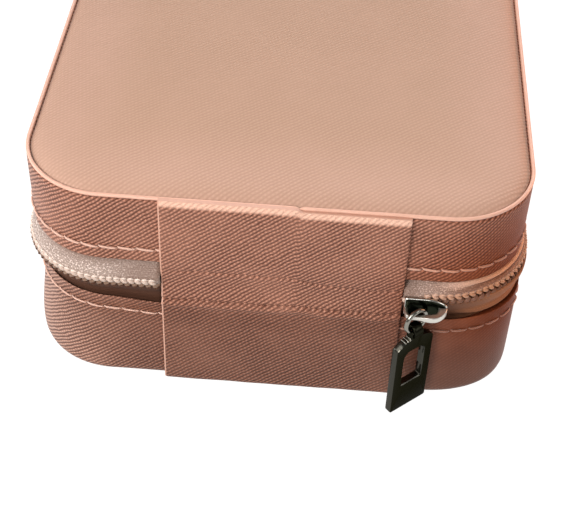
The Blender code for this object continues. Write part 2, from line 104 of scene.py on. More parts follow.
class Shader:
    """Builds one node material; values that are the same all over go straight on the sockets."""

    def __init__(self, name, color, roughness):
        self.material = bpy.data.materials.new(name)
        self.material.use_nodes = True
        self.tree = self.material.node_tree
        self.surface = self.tree.nodes["Principled BSDF"]
        self.set("Base Color", (*color, 1))
        self.set("Roughness", roughness)

    def set(self, socket, value):
        self.surface.inputs[socket].default_value = value

    def link(self, socket, value):
        self.tree.links.new(value, self.surface.inputs[socket])

    def node(self, kind, inputs, **settings):
        """The outputs of a new node, whose inputs are linked or set."""
        made = self.tree.nodes.new("ShaderNode" + kind)
        for key, value in settings.items():
            setattr(made, key, value)
        for key, value in inputs.items():
            if isinstance(value, bpy.types.NodeSocket):
                self.tree.links.new(value, made.inputs[key])
            else:
                made.inputs[key].default_value = value
        return made.outputs

    def math(self, operation, *values):
        return self.node("Math", dict(enumerate(values)), operation=operation)[0]

    def times(self, first, *others):
        for value in others:
            first = self.math("MULTIPLY", first, value)
        return first

    def plus(self, first, second):
        return self.math("ADD", first, second)

    def most(self, first, second):
        return self.math("MAXIMUM", first, second)

    def line(self, value, slope, start):
        return self.math("MULTIPLY_ADD", value, slope, start)

    def axes(self, vector):
        return list(self.node("SeparateXYZ", {"Vector": vector}))

    def uv(self):
        """Millimetres along and across the surface, as a vector and one by one."""
        vector = self.node("UVMap", {}, uv_map="grain")[0]
        return vector, *self.axes(vector)[:2]

    def position(self):
        """Millimetres in the piece's own space."""
        place = self.node("TexCoord", {})["Object"]
        return self.node("VectorMath", {0: place, "Scale": 1000.0}, operation="SCALE")[0]

    def span(self, value, start, end, low=0.0, high=1.0, curve="SMOOTHSTEP"):
        """Maps a value from one range to another."""
        ranges = {"From Min": start, "From Max": end, "To Min": low, "To Max": high}
        return self.node("MapRange", {"Value": value, **ranges}, interpolation_type=curve)[0]

    def near(self, place, centre, inner, outer, most=1.0):
        """A value that falls smoothly to zero away from a point."""
        away = self.node("VectorMath", {0: place, 1: centre}, operation="DISTANCE")["Value"]
        return self.span(away, inner, outer, most, 0.0)

    def noise(self, vector, scale, detail=3.0, roughness=0.55):
        numbers = {"Scale": scale, "Detail": detail, "Roughness": roughness}
        return self.node("TexNoise", {"Vector": vector, **numbers})[0]

    def wave(self, value, period):
        """A 0 to 1 wave."""
        turned = self.line(value, 2 * pi / period, 0)
        return self.line(self.math("SINE", turned), 0.5, 0.5)

    def mix(self, factor, first, second, blend="MIX"):
        first, second = ((*tone, 1) if isinstance(tone, tuple) else tone for tone in (first, second))
        return self.node("Mix", {"Factor": factor, 6: first, 7: second}, data_type="RGBA", blend_type=blend)[2]

    def tint(self, factor, tone, color):
        return self.mix(factor, tone, color, "MULTIPLY")

    def bump(self, height, depth):
        self.link("Normal", self.node("Bump", {"Height": height, "Distance": depth * MM, "Strength": 1.0})[0])

    def rough(self, factor, low, high):
        self.link("Roughness", self.span(factor, 0, 1, low, high, "LINEAR"))

    def colored(self, tone):
        """Ends the material with its colour."""
        self.link("Base Color", tone)
        return self.material


def dim(color, factor):
    return tuple(channel * factor for channel in color)


def cross_grain(shader, u, v, vector, angle, pitch, bead):
    """Embossed cross-grain: slanting ridges, each broken into beads, a little uneven."""
    drift = shader.line(shader.noise(vector, 0.45), 0.7, -0.35)
    across = shader.plus(shader.times(u, -sin(angle)), shader.times(v, cos(angle)))
    across = shader.plus(across, drift)
    along = shader.plus(shader.times(u, cos(angle)), shader.times(v, sin(angle)))
    row = shader.math("FLOOR", shader.math("DIVIDE", across, pitch))
    beads = shader.wave(shader.line(row, bead * 0.5, along), bead)
    ridge = shader.math("POWER", shader.wave(across, pitch), 0.9)
    uneven = shader.line(shader.noise(vector, 1.1, 2.0), 0.9, 0.55)
    return shader.times(ridge, shader.line(beads, 0.55, 0.48), uneven)


def painted_warm_shade(shader, place, tone):
    """Painted warm shade: the colour deepens and warms round the corner next to the slider."""
    return shader.tint(shader.near(place, WARM_SHADE_CORNER, 8, 34), tone, (0.74, 0.41, 0.23))


def leather(name, low, high, depth=0.16, roughness=(0.34, 0.56), flattened_and_shaded=False):
    """Coated leather whose grain catches the light on its ridges. For the walls, its grain is flattened
    round the corner next to the slider, and its colour takes painted warm shade round that corner, painted shade
    low on the left and in a band across the hinge side, a painted highlight along the hinge panel's top edge and a
    painted sheen low on the left front corner."""
    shader = Shader(name, high, 0.45)
    vector, u, v = shader.uv()
    grain = cross_grain(shader, u, v, vector, radians(39), pitch=0.78, bead=0.85)
    place = shader.position()
    x, y, z = shader.axes(place)
    if flattened_and_shaded:
        flat = shader.most(shader.near(place, (47, -47, 12), 12, 33, 0.88),
                           shader.near(place, (52, -40, 38), 7, 19, 0.65))
        grain = shader.mix(flat, grain, (0.26, 0.26, 0.26))
        # painted shade: the walls' left part darker towards the bottom
        low_left_shade = shader.times(shader.span(z, 0, 30, 0.8, 0), shader.span(x, -42, -24))
        # painted shade in a band across the hinge side of the base, below the zip
        shade = shader.times(shader.span(z, 24, 20.5), shader.span(z, 5, 14), shader.span(y, -43, -48),
                             shader.span(x, 32, 18), shader.span(z, 14.5, 18.5, 0.55))
        # painted highlight along the hinge panel's top edge, where it rolls over to the piping
        panel_top_highlight = shader.plus(z, shader.span(x, 4.6, 5.4, 0.0, 0.6))
        panel_top_highlight = shader.times(shader.span(panel_top_highlight, 47.9, 48.7), shader.span(y, -50.2, -50.6))
        # painted sheen: paler and greyer low on the left front corner
        left_corner_sheen = shader.near(place, (-54, -44, 10), 6, 32)

        # the painted warm shade, shade, highlight and sheen, laid on one after another
        def painted_light_and_shade(tone):
            tone = painted_warm_shade(shader, place, shader.tint(low_left_shade, tone, (0.50, 0.44, 0.40)))
            tone = shader.mix(panel_top_highlight, shader.tint(shade, tone, (0.70, 0.63, 0.58)), (0.60, 0.36, 0.27))
            return shader.tint(left_corner_sheen, tone, (1.16, 1.42, 1.58))

        low, high = painted_light_and_shade(low), painted_light_and_shade(high)
    uneven = shader.times(shader.math("SUBTRACT", shader.noise(vector, 0.06), 0.42), 0.9)
    tone = shader.mix(uneven, shader.mix(grain, low, high), high)
    if flattened_and_shaded:
        dull = shader.near(place, WARM_SHADE_CORNER, 8, 34, 0.22)
        shader.link("Specular IOR Level", shader.math("SUBTRACT", 0.27, dull))
    else:
        away = shader.most(shader.math("ABSOLUTE", x), shader.math("ABSOLUTE", y))
        tone = shader.tint(shader.span(away, 27.0, 45.0), tone, (1.09, 1.09, 1.15))
        shader.set("Specular IOR Level", 0.26)
    shader.rough(grain, roughness[1], roughness[0])
    shader.bump(shader.plus(grain, shader.times(shader.noise(vector, 4.5), 0.22)), depth)
    shader.set("Specular Tint", (1.0, 0.86, 0.76, 1))
    return shader.colored(tone)


def woven(name, color, pitch=0.42, roughness=0.55, sheen=0.35, depth=0.05, glint_specks=0.0, corner=None, reach=32):
    """Fine woven tape. With painted glints and dark flecks on its yarn it is the upper tape, with painted shade
    under the lid's edge, beside the hinge panel and in its fold, and a painted highlight on its bulge; its corner
    colour is painted light next to the slider, out to a reach."""
    shader = Shader(name, color, roughness)
    vector, u, v = shader.uv()
    row = shader.math("FLOOR", shader.math("DIVIDE", v, pitch))
    warp = shader.wave(shader.line(row, pitch * 0.75, u), pitch * 1.5)
    cloth = shader.times(shader.wave(v, pitch), shader.line(warp, 0.6, 0.4))
    darker = dim(color, 0.72)
    tone = shader.mix(cloth, darker, color)
    tone = shader.mix(shader.times(shader.noise(vector, 0.5), 0.35), tone, darker)
    if glint_specks:
        # painted glints: bright specks on the yarn, with dark flecks between them
        fine = shader.noise(vector, 2.9, 2.0, 0.6)
        cloth = shader.line(fine, 0.8, cloth)
        bright = tuple(min(1.0, channel * 1.25 + 0.27) for channel in color)
        tone = shader.mix(shader.span(fine, 0.5, 0.38, 0.0, glint_specks), tone, dim(color, 0.5))
        tone = shader.mix(shader.span(fine, 0.54, 0.64, 0.0, glint_specks), tone, bright)
        x, y, z = shader.axes(shader.position())
        # painted shade under the lid's edge and beside the hinge panel
        shade_under_lid = shader.times(shader.span(z, 30.2, 31.9), shader.span(x, 28.0, 22.0))
        inside = shader.times(shader.span(shader.math("ABSOLUTE", x), 36.0, 25.0), shader.span(y, -40.0, -45.0))
        closed = shader.span(x, 31.0, 38.0)
        # painted highlight on the tape's bulge right of the slider
        tone = shader.mix(shader.times(closed, shader.span(z, 31.45, 31.85), 0.55), tone, bright)
        # painted shade in the fold's groove
        groove = shader.times(shader.span(z, 30.75, 31.1), shader.span(z, 31.55, 31.3), closed, 0.8)
        shade = shader.most(shade_under_lid, shader.most(inside, groove))
        shadow = tuple(channel * factor for channel, factor in zip(color, (0.40, 0.30, 0.25)))
        tone = shader.mix(shader.times(shade, 0.75), tone, shadow)
    # painted light next to the slider: warm on the upper tape, lighter on the dark lower tape
    if corner:
        tone = shader.tint(shader.near(shader.position(), (51, -40, 28), 6, reach), tone, corner)
    shader.bump(cloth, depth)
    shader.set("Sheen Weight", sheen)
    shader.set("Sheen Roughness", 0.4)
    return shader.colored(tone)


def mottled(name, color, roughness, dark, pattern, relief=None, spread=None, change=None, sockets={}):
    """A material whose colour varies in a noise pattern. Relief is its depth and, if it has one, its own
    pattern; spread is how far the roughness varies down and up; change may alter the tone."""
    shader = Shader(name, color, roughness)
    place = shader.position()
    mottle = shader.noise(place, *pattern)
    tone = shader.mix(mottle, dim(color, dark), color)
    if relief:
        shader.bump(shader.noise(place, *relief[1:]) if relief[1:] else mottle, relief[0])
    if spread:
        shader.rough(mottle, roughness - spread[0], roughness + spread[1])
    for socket, value in sockets.items():
        shader.set(socket, value)
    return shader.colored(change(shader, place, tone) if change else tone)


def smooth_leather(name, color, roughness=0.42):
    """Ungrained edges: piping and folded or cut edges."""
    return mottled(name, color, roughness, 0.82, (0.9,), (0.06, 3.2), (0.08, 0.12))


def thread(name, color):
    """Twisted sewing thread, darker round the corner next to the slider, where painted warm shade deepens it too.
    """
    def painted_light_and_shade(shader, place, tone):
        low, high = shader.near(place, (44, -51, 15), 8, 24), shader.near(place, (50, -45, 36), 4, 14, 0.8)
        return shader.tint(shader.most(low, high), painted_warm_shade(shader, place, tone), (0.56, 0.50, 0.46))

    return mottled(name, color, 0.55, 0.72, (5.0, 2.0), (0.08,), change=painted_light_and_shade, sockets={"Sheen Weight": 0.3})


def velvet(name, color):
    """Short-pile lining with a soft bright edge and brushed patches."""
    def brushed(shader, place, tone):
        return shader.mix(shader.times(shader.noise(place, 0.12), 0.5), tone, dim(color, 1.25))

    return mottled(name, color, 0.9, 0.62, (3.5, 4.0, 0.7), (0.12,), change=brushed, sockets={
        "Sheen Weight": 0.8, "Sheen Roughness": 0.35, "Sheen Tint": (1.0, 0.86, 0.82, 1)})


def metal(name, color, roughness, edge=1.0):
    """Plated metal with faint polishing marks; a low edge keeps its grazing reflections dark."""
    return mottled(name, color, roughness, 0.8, (2.4, 4.0), (0.012, 1.1, 2.0), (0.05, 0.05), sockets={
        "Metallic": 1.0, "Specular Tint": (edge, edge, edge, 1)})


def plastic(name, color, roughness=0.5):
    """Nylon of the coil teeth."""
    # the teeth take painted warm shade round the corner next to the slider
    return mottled(name, color, roughness, 0.8, (1.3, 2.0), None, (0.06, 0.1), painted_warm_shade, {
        "Subsurface Weight": 0.12, "Subsurface Radius": (0.002, 0.0012, 0.001)})


def fibrous(name, color):
    """Grey board or open foam, seen only as an edge."""
    return mottled(name, color, 0.9, 0.7, (1.8, 5.0, 0.7), (0.1,))


SIDE = leather("leather", (0.068, 0.020, 0.011), (0.460, 0.215, 0.145), flattened_and_shaded=True)
TOP = leather("leather_top", (0.316, 0.192, 0.131), (0.395, 0.246, 0.177), depth=0.05, roughness=(0.48, 0.56))
EDGE = smooth_leather("cut_edge", (0.50, 0.272, 0.195))
UNDER = smooth_leather("underside", (0.30, 0.13, 0.09), 0.5)
PIPING = smooth_leather("piping", (0.62, 0.35, 0.26), 0.40)
THREAD = thread("thread", (0.62, 0.37, 0.28))
COIL_THREAD = thread("coil_thread", (0.74, 0.60, 0.52))
TAPE = woven("tape", (0.37, 0.27, 0.222), glint_specks=0.8, corner=(0.84, 0.42, 0.21))
# the lower tape, painted dark for the shade under the upper tape's bulge
SHADED_LOW_TAPE = woven("shaded_low_tape", (0.075, 0.022, 0.006), roughness=0.85, sheen=0.0, corner=(4.0, 4.6, 5.6), reach=24)
TEETH = plastic("teeth", (0.52, 0.40, 0.335))
# the lower coil, painted dark for the shade under the upper chain
SHADED_LOW_TEETH = plastic("shaded_low_teeth", (0.20, 0.115, 0.072))
VELVET = velvet("velvet", (0.36, 0.165, 0.135))
ELASTIC = woven("elastic", (0.33, 0.155, 0.13), 0.7, 0.7, 0.4, 0.12)
BOARD = fibrous("board", (0.42, 0.34, 0.25))
FOAM = fibrous("foam", (0.80, 0.76, 0.66))
NICKEL = metal("nickel", (0.62, 0.60, 0.55), 0.15)
SATIN_NICKEL = metal("satin_nickel", (0.66, 0.635, 0.58), 0.34)
RING_METAL = metal("ring_metal", (0.27, 0.26, 0.225), 0.17)
# the slider's faces that look straight out, painted dark for the dark reflection they show
NICKEL_DARK_REFLECTION = metal("nickel_dark_reflection", (0.018, 0.021, 0.014), 0.24, edge=0.4)
# the tab's edges and window sides, painted lighter for the reflections they catch
GUNMETAL_LIT_EDGE = metal("gunmetal_lit_edge", (0.062, 0.060, 0.050), 0.22, edge=0.6)
GUNMETAL = metal("gunmetal", (0.017, 0.0165, 0.011), 0.28, edge=0.45)


# -------- mesh helpers

def smoothstep(low, high, value):
    t = min(1.0, max(0.0, (value - low) / (high - low)))
    return t * t * (3 - 2 * t)


def bell(value, middle, width):
    return exp(-((value - middle) / width) ** 2)


def ripple(s, height, scale, seed):
    """Smooth unevenness between -1 and 1 that follows the wall."""
    return noise.noise(Vector((s / scale, height / scale, seed)))


def turns(count):
    """The angles of a number of steps once round."""
    return [2 * pi * k / count for k in range(count)]


def wall_point(s, offset, height):
    """The point at s, an offset out from the walls' outer face."""
    t = (s + STRAIGHT / 2) % ROUND
    side = int(t // (STRAIGHT + QUARTER))
    t -= side * (STRAIGHT + QUARTER)
    bend = max(0.0, t - STRAIGHT) / CORNER
    out = Vector((sin(bend), -cos(bend), 0)) * (CORNER + offset)
    centre = Vector((min(t, STRAIGHT) - STRAIGHT / 2, -STRAIGHT / 2, height))
    return Matrix.Rotation(side * pi / 2, 3, "Z") @ (centre + out)


def rounded(corners, steps=4):
    """A closed outline whose (u, v, radius) corners are rounded by short curves."""
    outline = []
    for i, (u, v, radius) in enumerate(corners):
        here = Vector((u, v))
        before, after = radius if isinstance(radius, tuple) else (radius, radius)
        previous = Vector(corners[i - 1][:2])
        following = Vector(corners[(i + 1) % len(corners)][:2])
        first = here + (previous - here).normalized() * before
        last = here + (following - here).normalized() * after
        for k in range(steps + 1):
            t = k / steps
            outline.append(first * (1 - t) ** 2 + here * 2 * t * (1 - t) + last * t ** 2)
    return outline


def block(u0, v0, u1, v1, low_radius, high_radius=None, steps=3):
    """A rounded rectangle, whose two upper corners may have another radius."""
    low, high = low_radius, high_radius or low_radius
    return rounded([(u0, v0, low), (u1, v0, low), (u1, v1, high), (u0, v1, high)], steps)


def mirrored(corners):
    """A symmetric outline from the corners of its right half."""
    return rounded(corners + [(-u, v, radius) for u, v, radius in reversed(corners)])


def divided(outline, longest):
    """The same closed outline with no edge longer than a given length."""
    points = []
    for i, here in enumerate(outline):
        following = outline[(i + 1) % len(outline)]
        count = max(1, round((following - here).length / longest))
        points += [here.lerp(following, k / count) for k in range(count)]
    return points


def curve_through(points, steps=6):
    """Points on a smooth curve through the given ones."""
    points = [Vector(point) for point in points]
    padded = [2 * points[0] - points[1]] + points + [2 * points[-1] - points[-2]]
    out = []
    for i in range(1, len(padded) - 2):
        a, b, c, d = padded[i - 1:i + 3]
        for k in range(steps):
            t = k / steps
            out.append(0.5 * (2 * b + (c - a) * t + (2 * a - 5 * b + 4 * c - d) * t * t
                              + (3 * b - a - 3 * c + d) * t ** 3))
    return out + [points[-1]]


def headings(line):
    """The direction of a line at each of its points."""
    return [(line[min(i + 1, len(line) - 1)] - line[max(i - 1, 0)]).normalized() for i in range(len(line))]


def strip(points, thickness):
    """A closed profile of a thin strip along a curve, its first side being the outer one."""
    line = curve_through(points)
    aside = [Vector((-along.y, along.x)) * thickness / 2 for along in headings(line)]
    return [p + a for p, a in zip(line, aside)] + [p - a for p, a in zip(line, aside)][::-1]


def lengths(points, closed=True):
    """Running length along a list of points, or round it."""
    total, out = 0.0, [0.0]
    for here, there in zip(points, points[1:] + ([points[0]] if closed else [])):
        total += (there - here).length
        out.append(total)
    return out


def in_scene(name, data):
    made = bpy.data.objects.new(name, data)
    bpy.context.scene.collection.objects.link(made)
    return made


def new_object(name, points, faces, uvs=None):
    """A smooth object from points; uvs are the grain coordinates of each face's corners in turn."""
    mesh = bpy.data.meshes.new(name)
    mesh.from_pydata([point * MM for point in points], [], faces)
    if uvs:
        mesh.uv_layers.new(name="grain").data.foreach_set("uv", [value for pair in uvs for value in pair])
    mesh.shade_smooth()
    return in_scene(name, mesh)


def outward(made):
    """Turns all faces outwards."""
    mesh = made.data
    volume = 0.0
    for face in mesh.polygons:
        first = mesh.vertices[face.vertices[0]].co
        for a, b in zip(face.vertices[1:], face.vertices[2:]):
            volume += first.dot(mesh.vertices[a].co.cross(mesh.vertices[b].co))
    if volume < 0:
        mesh.flip_normals()
    return made


def grid_faces(count, width, ring=False):
    """Each face as its corners' rows and columns, for closed rows that make a ring or a capped tube."""
    faces = [[(r, c), (r, c + 1), (r + 1, c + 1), (r + 1, c)]
             for r in range(count if ring else count - 1) for c in range(width)]
    if not ring:
        faces += [[(0, c) for c in reversed(range(width))], [(count - 1, c) for c in range(width)]]
    return faces


def grid_mesh(name, rows, us=None, vs=None, ring=False):
    """One object from closed rows of points; us and vs are the surface coordinates of rows and columns."""
    count, width = len(rows), len(rows[0])
    us, vs = us or [0] * (count + 1), vs or [0] * (width + 1)
    faces = grid_faces(count, width, ring)
    return outward(new_object(name, [point for row in rows for point in row],
                              [[r % count * width + c % width for r, c in face] for face in faces],
                              [(us[r], vs[c]) for face in faces for r, c in face]))


def sweep(name, profile_at, start, end, step, warp=None, edge=0.0):
    """Carries a closed profile of (offset, height) along the wall; start and end may be a whole turn apart.
    With an edge, the first and last strips of an open one are that wide."""
    closed = abs(end - start - ROUND) < 1e-6
    count = max(2, round((end - start) / step))
    stations = [start + (end - start) * i / count for i in range(count + (0 if closed else 1))]
    if edge:
        stations = [start, start + edge / 2, start + edge] + stations[1:-1] + [end - edge, end - edge / 2, end]
    rows = [[wall_point(s, p.x + (warp(s, p.y) if warp else 0), p.y) for p in profile_at(s)] for s in stations]
    profile = profile_at(start)
    vs = [profile[0].y - length for length in lengths(profile)]
    return grid_mesh(name, rows, stations + [start + ROUND], vs, closed)


def dress(made, body, material, slot, *nodes):
    """Material, body and the CAD nodes that this piece stands for."""
    made.data.materials.clear()
    made.data.materials.append(material)
    if nodes:
        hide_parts(*nodes)
    if body:
        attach(made, body)


def trim(made, material, chosen):
    """Gives the chosen faces a second material."""
    made.data.materials.append(material)
    for face in made.data.polygons:
        face.material_index = int(chosen(face))


def blend(made, first, second, start, end):
    """Bakes a piece's placement into its mesh; it does not bend it. The two bodies are not used, and the two
    points have no effect.
    """
    start, end = (tuple(value * MM for value in point) for point in (start, end))
    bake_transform(made)
    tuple(start)
    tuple(end)


def sharpen(made, degrees=50):
    made.data.set_sharp_from_angle(angle=radians(degrees))


def lay_flat(made):
    """Grain coordinates straight from above."""
    layer = made.data.uv_layers["grain"].data
    for loop in made.data.loops:
        layer[loop.index].uv = made.data.vertices[loop.vertex_index].co.xy / MM


def many_tubes(name, paths, radius, sides):
    """Separate closed tubes with capped ends in one object; radius is a function of the way along, 0 to 1."""
    points, faces = [], []
    for path in paths:
        first, side = len(points), None
        for i, (centre, along) in enumerate(zip(path, headings(path))):
            side = side or along.orthogonal().normalized()
            side = (side - along * side.dot(along)).normalized()
            up = along.cross(side)
            size = radius(i / (len(path) - 1))
            points += [centre + (side * cos(angle) + up * sin(angle)) * size for angle in turns(sides)]
        faces += [[first + r * sides + c % sides for r, c in face] for face in grid_faces(len(path), sides)]
    return new_object(name, points, faces)


# -------- walls, top and piping

def wall_warp(seed, stitch_height):
    """Slight waviness of leather glued on board, and the groove that the stitches pull into it."""
    return lambda s, height: 0.10 * ripple(s, height, 14, seed) - 0.16 * bell(height, stitch_height, 0.7)


def lean(s, height):
    """The base's face stands out at the handled corner and leans in at the top on the other one."""
    left = bell(s, ROUND - 56, 17)
    return 1.25 * bell(s, 50, 9) + 0.4 * bell(s, 61, 8) + left * (0.6 - 1.4 * smoothstep(3, 19, height))


def sag(s, depth, reach):
    """The base's edge droops a little towards the hinge panel's left side."""
    away = (s - PANEL_LOW.x + ROUND / 2) % ROUND - ROUND / 2
    return depth * exp(-(away / reach) ** 2)


def make_walls():
    low = divided(rounded([
        (0, BASE_EDGE + 0.1, 0.45), (0, 0.03, (2.4, 1.0)),
        (-LEATHER, 0.03, 0.03), (-LEATHER, BASE_EDGE - 1.3, 0.4),
    ]), 0.7)

    def low_at(s):
        drop = sag(s, 1.1, 8)
        return [Vector((p.x + (lean(s, p.y) if p.x > -LEATHER / 2 else 0),
                        p.y - drop * smoothstep(BASE_EDGE - 6, BASE_EDGE, p.y))) for p in low]

    base = sweep("base_leather", low_at, 0, ROUND, 1, wall_warp(1.0, LOWER_STITCH))
    dress(base, "base", SIDE, "leather", "base_wall_leather")
    high = divided(rounded([
        (0, LID_WALL_TOP, 0.5), (0, LID_EDGE, 0.45),
        (-LEATHER, LID_EDGE + 0.3, 0.4), (-LEATHER, LID_WALL_TOP, 0.5),
    ]), 0.7)
    lid = sweep("lid_leather", lambda s: high, 0, ROUND, 1, wall_warp(2.0, UPPER_STITCH))
    dress(lid, "lid", SIDE, "leather", "lid_wall_leather")


def edge_distance(x, y, rim):
    """Distance in from the rounded-square rim at an offset."""
    radius = CORNER + rim
    dx, dy = abs(x) - (HALF - CORNER), abs(y) - (HALF - CORNER)
    if dx > 0 and dy > 0:
        return radius - sqrt(dx * dx + dy * dy)
    return radius - max(dx, dy)


def make_top():
    """The padded top: it rolls over at the piping and swells to a shallow dome."""
    rim = -0.9
    count = 372
    scales = [1, .996, .99, .982, .972, .96, .945, .925, .9, .87, .83, .78, .72, .64, .55, .45, .34, .22, .1, .02]
    rise = DOME_HEIGHT - PIPING_HEIGHT + 0.35

    def row(scale, inset, drop):
        """One loop of the skin's outside, or of its underside."""
        points = []
        for i in range(count):
            x, y, _ = wall_point(ROUND * i / count, rim - inset, 0) * scale
            d = max(0.0, edge_distance(x, y, rim))
            roll = 0.62 * (1 - exp(-d / 1.5)) + 0.38 * (1 - exp(-d / 11))
            soft = 0.10 * noise.noise(Vector((x, y, 0)) / 17) * smoothstep(0, 8, d)
            points.append(Vector((x, y, PIPING_HEIGHT - 0.45 + rise * roll + soft - drop)))
        return points

    rows = [row(scale, 0.2, 0.9) for scale in reversed(scales)] + [row(scale, 0, 0) for scale in scales]
    made = grid_mesh("lid_top_skin", rows)
    lay_flat(made)
    dress(made, "lid", TOP, "leather_top", "lid_top_leather")


def make_piping():
    """A folded bead round the top; its two ends meet behind the hinge panel's top edge."""
    meeting = 4.9

    def profile_at(s):
        near = bell((s - meeting + ROUND / 2) % ROUND, ROUND / 2, 0.5)
        size = 0.38 * (1 - 0.75 * near)
        height = PIPING_HEIGHT + 0.06 * ripple(s, 0, 9, 7.0)
        return [Vector((size * cos(angle) - 0.32, height - size * sin(angle))) for angle in turns(12)]

    made = sweep("top_piping", profile_at, meeting, meeting + ROUND, 0.5)
    dress(made, "lid", PIPING, "piping", "lid_piping")


def make_stitches():
    """Each stitch rises out of the leather, slants a little and dives back in."""
    for name, body, row, thick, seed in (("lid_stitches", "lid", UPPER_STITCH, 0.235, 3.0),
                                         ("base_stitches", "base", LOWER_STITCH, 0.19, 4.0)):
        paths = []
        count = round(ROUND / STITCH_PITCH)
        for i in range(count):
            middle = ROUND * (i + 0.35) / count
            height, out = (row - sag(middle, 0.9, 7), lean(middle, row)) if body == "base" else (row, 0)
            slant = 0.34 + 0.10 * ripple(middle, 0, 3, seed)
            steps = [k / 4 for k in range(-4, 5)]
            paths.append([wall_point(middle + t * STITCH_LENGTH / 2, out + 0.15 - 0.30 * t ** 6,
                                     height - slant * t / 2) for t in steps])
        made = many_tubes(name, paths, lambda t: thick * (1 - 0.35 * abs(2 * t - 1) ** 3), 8)
        dress(made, body, THREAD, "piping")


# -------- hinge panel

def panel_offset(s, height):
    """How far the panel's face stands out: it sinks over the gap and creases in two places."""
    sunk = 0.50 * bell(height, (BASE_EDGE + LID_EDGE) / 2 + 0.4, 3.6)
    crease = 0.55 * bell(height, BASE_EDGE + 1.1, 0.30)
    lip = 0.34 * bell(height, BASE_EDGE + 0.1, 0.60)
    upper = 0.36 * bell(height, LID_EDGE - 1.0 - 1.8 * smoothstep(-4, 18, s), 0.28) * smoothstep(-25, -12, s)
    return 1.2 - sunk - crease + lip - upper


def make_panel():
    """One piece of leather over the back, from the piping to the underside."""
    thickness = Vector((0.85, 0))
    top_left, top_right = PANEL_HIGH.z + 0.25, PANEL_HIGH.z - 0.35
    bottom = PANEL_LOW.z - 0.15
    width = PANEL_HIGH.x - PANEL_LOW.x
    steps = 190

    def profile_at(s):
        top = top_left + (top_right - top_left) * smoothstep(4.6, 5.4, s)
        edge = min(s - PANEL_LOW.x, PANEL_HIGH.x - s)
        outer = []
        for i in range(steps + 1):
            height = top - (top - bottom) * i / steps
            face = panel_offset(s, height + 0.8 * ripple(s, 0, 8, 11.0))
            face -= 0.50 * bell(height, top, 0.75) + 0.2 * bell(height, bottom, 0.4) + 0.22 * exp(-edge / 0.25)
            face += 0.10 * ripple(s, height, 6, 5.0) + 0.20 * ripple(s, 0, 5, 6.0) * bell(height, BASE_EDGE, 2.5)
            outer.append(Vector((face, height)))
        return outer + [point - thickness for point in reversed(outer)]

    def on_edge(face):
        x, _, z = face.center / MM
        return len(face.vertices) > 4 or face.normal.z > 0.6 and z > PANEL_HIGH.z - 1.2 or x < PANEL_LOW.x + 0.29

    made = sweep("hinge_leather", profile_at, PANEL_LOW.x, PANEL_HIGH.x, width / 80, edge=0.3)
    dress(made, None, SIDE, "leather", "hinge_panel")
    trim(made, EDGE, on_edge)
    sharpen(made)
    blend(made, "base", "lid", (0, HINGE[1], BASE_EDGE + 1.0), (0, HINGE[1], LID_EDGE - 0.2))


# -------- zip

def chain_up(s):
    """The chain sits higher right of the slider and settles on its way round the front."""
    past_slider = smoothstep(SLIDER_LOW.x + 2.5, SLIDER_LOW.x + 5.5, s)
    return 1.7 * past_slider * (1 - smoothstep(70, 150, s))


def closed_side(s):
    """1 on the right, where the chain lies closed and close to the walls, 0 on the gaping left."""
    return smoothstep(SLIDER_HIGH.x, SLIDER_HIGH.x + 8, s) * (1 - smoothstep(110, 190, s))


def chain_in(s):
    """How much closer to the box the chain lies on the right and round the left corner."""
    return 0.55 * closed_side(s) + 0.8 * bell(s, ROUND - 60, 16)


def blend_to_lid(made):
    """Bakes the tape's placement into its mesh; its last stretch is not tied to the base or the lid."""
    blend(made, "base", "lid", (0, HINGE[1] - 1.5, HINGE[2] - 0.5), (0, HINGE[1] + 5, HINGE[2] + 4))


def make_inner_hinge():
    """The lining strip behind the hinge panel."""
    low, high = box("hinge_strip")
    offset = -HALF - (low.y + high.y) / 2
    line = strip([(offset, high.z - (high.z - low.z) * i / 12) for i in range(13)], 0.42)
    made = sweep("hinge_lining", lambda s: line, low.x, high.x, 1.5)
    dress(made, None, TAPE, "tape", "hinge_strip")
    blend(made, "base", "lid", (0, HINGE[1], BASE_EDGE + 1.5), (0, HINGE[1], LID_EDGE + 0.6))


def make_tapes():
    start, end = ZIP_FROM - 0.2, ZIP_TO + 0.2
    high = strip([
        (-1.53, 39.5), (-1.53, 36), (-1.5, 33.8), (-1.4, 32.7), (-1.15, 32.0), (-0.55, 31.2),
        (0.35, 30.4), (1.10, 29.7), (1.26, 29.1), (1.20, 28.5), (1.10, 28.05),
    ], 0.42)

    def soft(s, height):
        out = 0.14 * ripple(s, height, 11, 8.0) - chain_in(s)
        fold = 0.9 * bell(height, 31.45, 0.28) - 1.5 * bell(height, 32.2, 0.5)
        return (out - fold * closed_side(s)) * smoothstep(34, 31, height)

    def high_at(s):
        return [Vector((p.x, p.y + chain_up(s) * max(0.0, 33.6 - p.y) / 4.6)) for p in high]

    upper = sweep("upper_tape", high_at, start, end, 1, soft)
    dress(upper, None, TAPE, "tape", "upper_zip_tape")
    blend_to_lid(upper)
    low = strip([
        (0.30, 27.2), (0.20, 26.3), (-0.55, 24.9), (-1.40, 23.4), (-1.55, 22.0), (-1.55, 19), (-1.55, 16),
    ], 0.42)

    def low_at(s):
        return [Vector((p.x, p.y + 0.8 * chain_up(s) * max(0.0, p.y - 22.6) / 4.4)) for p in low]

    def low_out(s, height):
        out = 0.45 * smoothstep(22.8, 26.5, height) + 1.15 * bell(height, 23.3, 0.75)
        return out * closed_side(s) + 0.6 * lean(s, BASE_EDGE) * smoothstep(22.2, 23.4, height)

    lower = sweep("lower_tape", low_at, start, end, 1, low_out)
    dress(lower, "base", SHADED_LOW_TAPE, "tape", "lower_zip_tape")


